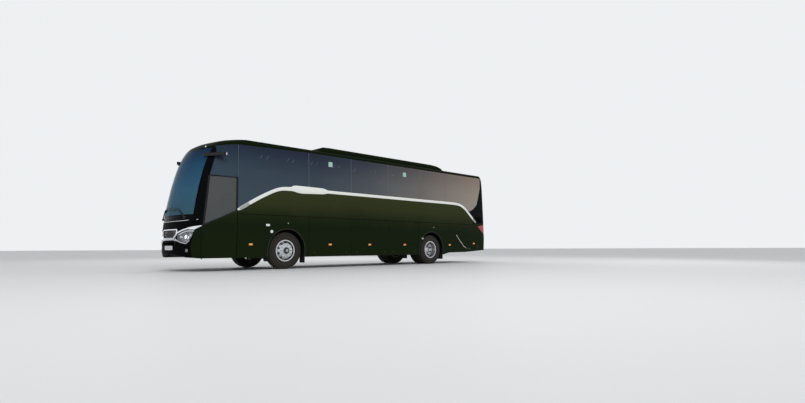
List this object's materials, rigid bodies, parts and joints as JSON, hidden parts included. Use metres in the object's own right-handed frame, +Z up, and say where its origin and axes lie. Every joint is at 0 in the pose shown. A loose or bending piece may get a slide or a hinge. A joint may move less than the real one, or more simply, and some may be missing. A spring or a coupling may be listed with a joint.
{
  "type": "coach bus",
  "caption": "High-floor touring coach with a hollow cabin, swing-out entrance doors, lifting luggage and engine flaps, steered front wheels and paired rear wheels.",
  "frame": {"origin": "on the road under the middle of the coach's box", "axes": "+X towards the rear, +Y towards the coach's right side, +Z up"},
  "size_m": [12.3012, 2.8978, 3.7698],
  "materials": {
    "green_paint": "gloss, very dark green",
    "green_moulding": "gloss, very dark green",
    "black_paint": "gloss black",
    "black_moulding": "gloss black",
    "silver_paint": "silver-white, satin gloss",
    "tinted_glass": "dark blue-grey tint",
    "windscreen_glass": "light blue tint",
    "clear_lens": "clear lens over bright reflectors",
    "red_lens": "red lens",
    "chrome": "polished",
    "black_plastic": "grained black",
    "flap_rubber": "matt black",
    "tyre": "matt black",
    "wheel_aluminium": "polished",
    "frame_paint": "satin black",
    "cast_metal": "painted casting",
    "door_arm_steel": "brushed",
    "floor_cover": "grey floor covering",
    "trim_plastic": "grained grey",
    "seat_fabric": "dark woven",
    "plate": "blank, pale"
  },
  "bodies": {
    "coach": {"belt_strips": "silver_paint", "bumper_corners": "green_moulding", "cabin_floor": "floor_cover", "camera_arms": "black_plastic", "dashboard": "trim_plastic", "engine_block": "cast_metal", "front_bumper": "black_moulding", "front_frame": "black_paint", "front_mask": "black_moulding", "front_suspension": "frame_paint", "grille": "black_plastic", "grille_trim": "chrome", "headlamps": "clear_lens", "lower_panels_left": "green_paint", "lower_panels_right": "green_paint", "luggage_racks": "trim_plastic", "mudflaps": "flap_rubber", "number_plate": "plate", "rear_axle": "cast_metal", "rear_bumper": "green_moulding", "rear_wall": "green_paint", "rear_window": "tinted_glass", "roof": "green_paint", "roof_unit": "green_moulding", "seats": "seat_fabric", "side_frame_left": "green_paint", "side_frame_right": "green_paint", "side_windows_left": "tinted_glass", "side_windows_right": "tinted_glass", "steering_wheel": "trim_plastic", "tail_lamps": "red_lens", "underframe": "frame_paint", "wheelhouses": "black_plastic", "windscreen": "windscreen_glass", "wipers": "black_plastic"},
    "knuckle_left": {"knuckle_left": "cast_metal"},
    "knuckle_right": {"knuckle_right": "cast_metal"},
    "front_wheel_left": {"front_wheel_left": "wheel_aluminium", "front_tyre_left": "tyre"},
    "front_wheel_right": {"front_wheel_right": "wheel_aluminium", "front_tyre_right": "tyre"},
    "rear_wheels_left": {"rear_wheel_left": "wheel_aluminium", "rear_tyre_left": "tyre"},
    "rear_wheels_right": {"rear_wheel_right": "wheel_aluminium", "rear_tyre_right": "tyre"},
    "engine_flap_left": {"engine_flap_left": "green_paint"},
    "engine_flap_right": {"engine_flap_right": "green_paint"},
    "engine_lid": {"engine_lid": "green_paint"},
    "front_door_arm": {"front_door_arm": "door_arm_steel"},
    "front_door": {"front_door": "green_paint", "front_door_glass": "tinted_glass"},
    "mid_door_arm": {"mid_door_arm": "door_arm_steel"},
    "mid_door": {"mid_door": "green_paint", "mid_door_glass": "tinted_glass"},
    "luggage_flap_left_1": {"luggage_flap_left_1": "green_paint"},
    "luggage_flap_left_2": {"luggage_flap_left_2": "green_paint"},
    "luggage_flap_left_3": {"luggage_flap_left_3": "green_paint"},
    "luggage_flap_right_1": {"luggage_flap_right_1": "green_paint"},
    "luggage_flap_right_2": {"luggage_flap_right_2": "green_paint"}
  },
  "joints": [
    {"name": "steer_left", "type": "hinge", "parent": "coach", "child": "knuckle_left", "pos_m": [-3.3335, -0.94, 0.525], "axis": [0, 0, 1], "range_deg": [-45, 45]},
    {"name": "roll_front_left", "type": "hinge", "parent": "knuckle_left", "child": "front_wheel_left", "pos_m": [-3.3335, -1.06, 0.522], "axis": [0, 1, 0], "continuous": true},
    {"name": "roll_rear_left", "type": "hinge", "parent": "coach", "child": "rear_wheels_left", "pos_m": [2.7465, -0.92, 0.522], "axis": [0, 1, 0], "continuous": true},
    {"name": "open_engine_flap_left", "type": "hinge", "parent": "coach", "child": "engine_flap_left", "pos_m": [5.0605, -1.26926, 1.3635], "axis": [-0.9817, 0, -0.1906], "range_deg": [0, 85]},
    {"name": "steer_right", "type": "hinge", "parent": "coach", "child": "knuckle_right", "pos_m": [-3.3335, 0.94, 0.525], "axis": [0, 0, 1], "range_deg": [-45, 45]},
    {"name": "roll_front_right", "type": "hinge", "parent": "knuckle_right", "child": "front_wheel_right", "pos_m": [-3.3335, 1.06, 0.522], "axis": [0, 1, 0], "continuous": true},
    {"name": "roll_rear_right", "type": "hinge", "parent": "coach", "child": "rear_wheels_right", "pos_m": [2.7465, 0.92, 0.522], "axis": [0, 1, 0], "continuous": true},
    {"name": "open_engine_flap_right", "type": "hinge", "parent": "coach", "child": "engine_flap_right", "pos_m": [5.0605, 1.26926, 1.3635], "axis": [0.9817, 0, 0.1906], "range_deg": [0, 85]},
    {"name": "open_luggage_flap_left_1", "type": "hinge", "parent": "coach", "child": "luggage_flap_left_1", "pos_m": [-1.7965, -1.26547, 1.493], "axis": [-1, 0, 0], "range_deg": [0, 90]},
    {"name": "open_luggage_flap_left_2", "type": "hinge", "parent": "coach", "child": "luggage_flap_left_2", "pos_m": [-0.1905, -1.26547, 1.493], "axis": [-1, 0, 0], "range_deg": [0, 90]},
    {"name": "open_luggage_flap_left_3", "type": "hinge", "parent": "coach", "child": "luggage_flap_left_3", "pos_m": [1.3395, -1.26547, 1.493], "axis": [-1, 0, 0], "range_deg": [0, 90]},
    {"name": "open_luggage_flap_right_1", "type": "hinge", "parent": "coach", "child": "luggage_flap_right_1", "pos_m": [-1.7965, 1.26547, 1.493], "axis": [1, 0, 0], "range_deg": [0, 90]},
    {"name": "open_luggage_flap_right_2", "type": "hinge", "parent": "coach", "child": "luggage_flap_right_2", "pos_m": [-0.1905, 1.26547, 1.493], "axis": [1, 0, 0], "range_deg": [0, 90]},
    {"name": "open_engine_lid", "type": "hinge", "parent": "coach", "child": "engine_lid", "pos_m": [6.1445, 0, 1.428], "axis": [0, -1, 0], "range_deg": [0, 80]},
    {"name": "swing_front_door", "type": "hinge", "parent": "coach", "child": "front_door_arm", "pos_m": [-5.5335, 1.12, 0.9], "axis": [0, 0, 1], "range_deg": [0, 155]},
    {"name": "turn_front_door", "type": "hinge", "parent": "front_door_arm", "child": "front_door", "pos_m": [-4.9835, 1.12, 0.9], "axis": [0, 0, 1], "range_deg": [-155, 0]},
    {"name": "swing_mid_door", "type": "hinge", "parent": "coach", "child": "mid_door_arm", "pos_m": [1.4065, 1.12, 0.9], "axis": [0, 0, -1], "range_deg": [0, 155]},
    {"name": "turn_mid_door", "type": "hinge", "parent": "mid_door_arm", "child": "mid_door", "pos_m": [0.8565, 1.12, 0.9], "axis": [0, 0, -1], "range_deg": [-155, 0]}
  ],
  "couplings": [
    {"joint": "steer_right", "follows": "steer_left", "ratio": 1},
    {"joint": "turn_front_door", "follows": "swing_front_door", "ratio": -1},
    {"joint": "turn_mid_door", "follows": "swing_mid_door", "ratio": -1}
  ]
}
